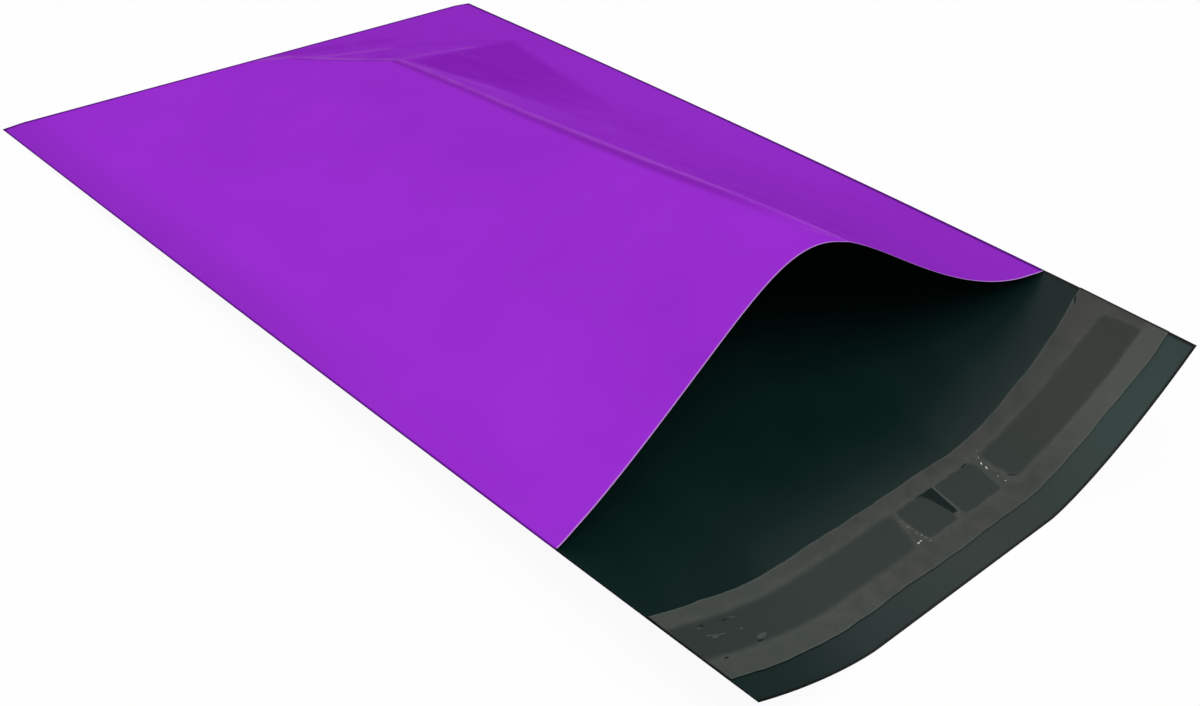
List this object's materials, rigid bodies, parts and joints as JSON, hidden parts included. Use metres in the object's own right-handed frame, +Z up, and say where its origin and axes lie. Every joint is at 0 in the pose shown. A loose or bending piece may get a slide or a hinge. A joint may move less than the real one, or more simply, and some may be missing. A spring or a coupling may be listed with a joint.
{
  "type": "poly mailer bag",
  "caption": "Purple poly mailer bag lying open, black inside, with a release liner over the adhesive on its flap",
  "frame": {"origin": "centre of the bag's box in plan, on the surface that the bag lies on", "axes": "+X to the right across the bag as seen from the mouth, +Y from the mouth to the folded bottom, +Z up"},
  "size_m": [0.2286, 0.368, 0.0698],
  "materials": {
    "film": "smooth co-extruded film, purple outside and black inside",
    "liner": "frosted translucent film seen over black",
    "adhesive": "clear hot melt seen over black"
  },
  "bodies": {
    "root": {"film_bag": "film", "release_liner": "liner", "adhesive_band_left": "adhesive", "adhesive_pad_left": "adhesive", "adhesive_pad_right": "adhesive", "adhesive_band_right": "adhesive"}
  },
  "joints": []
}
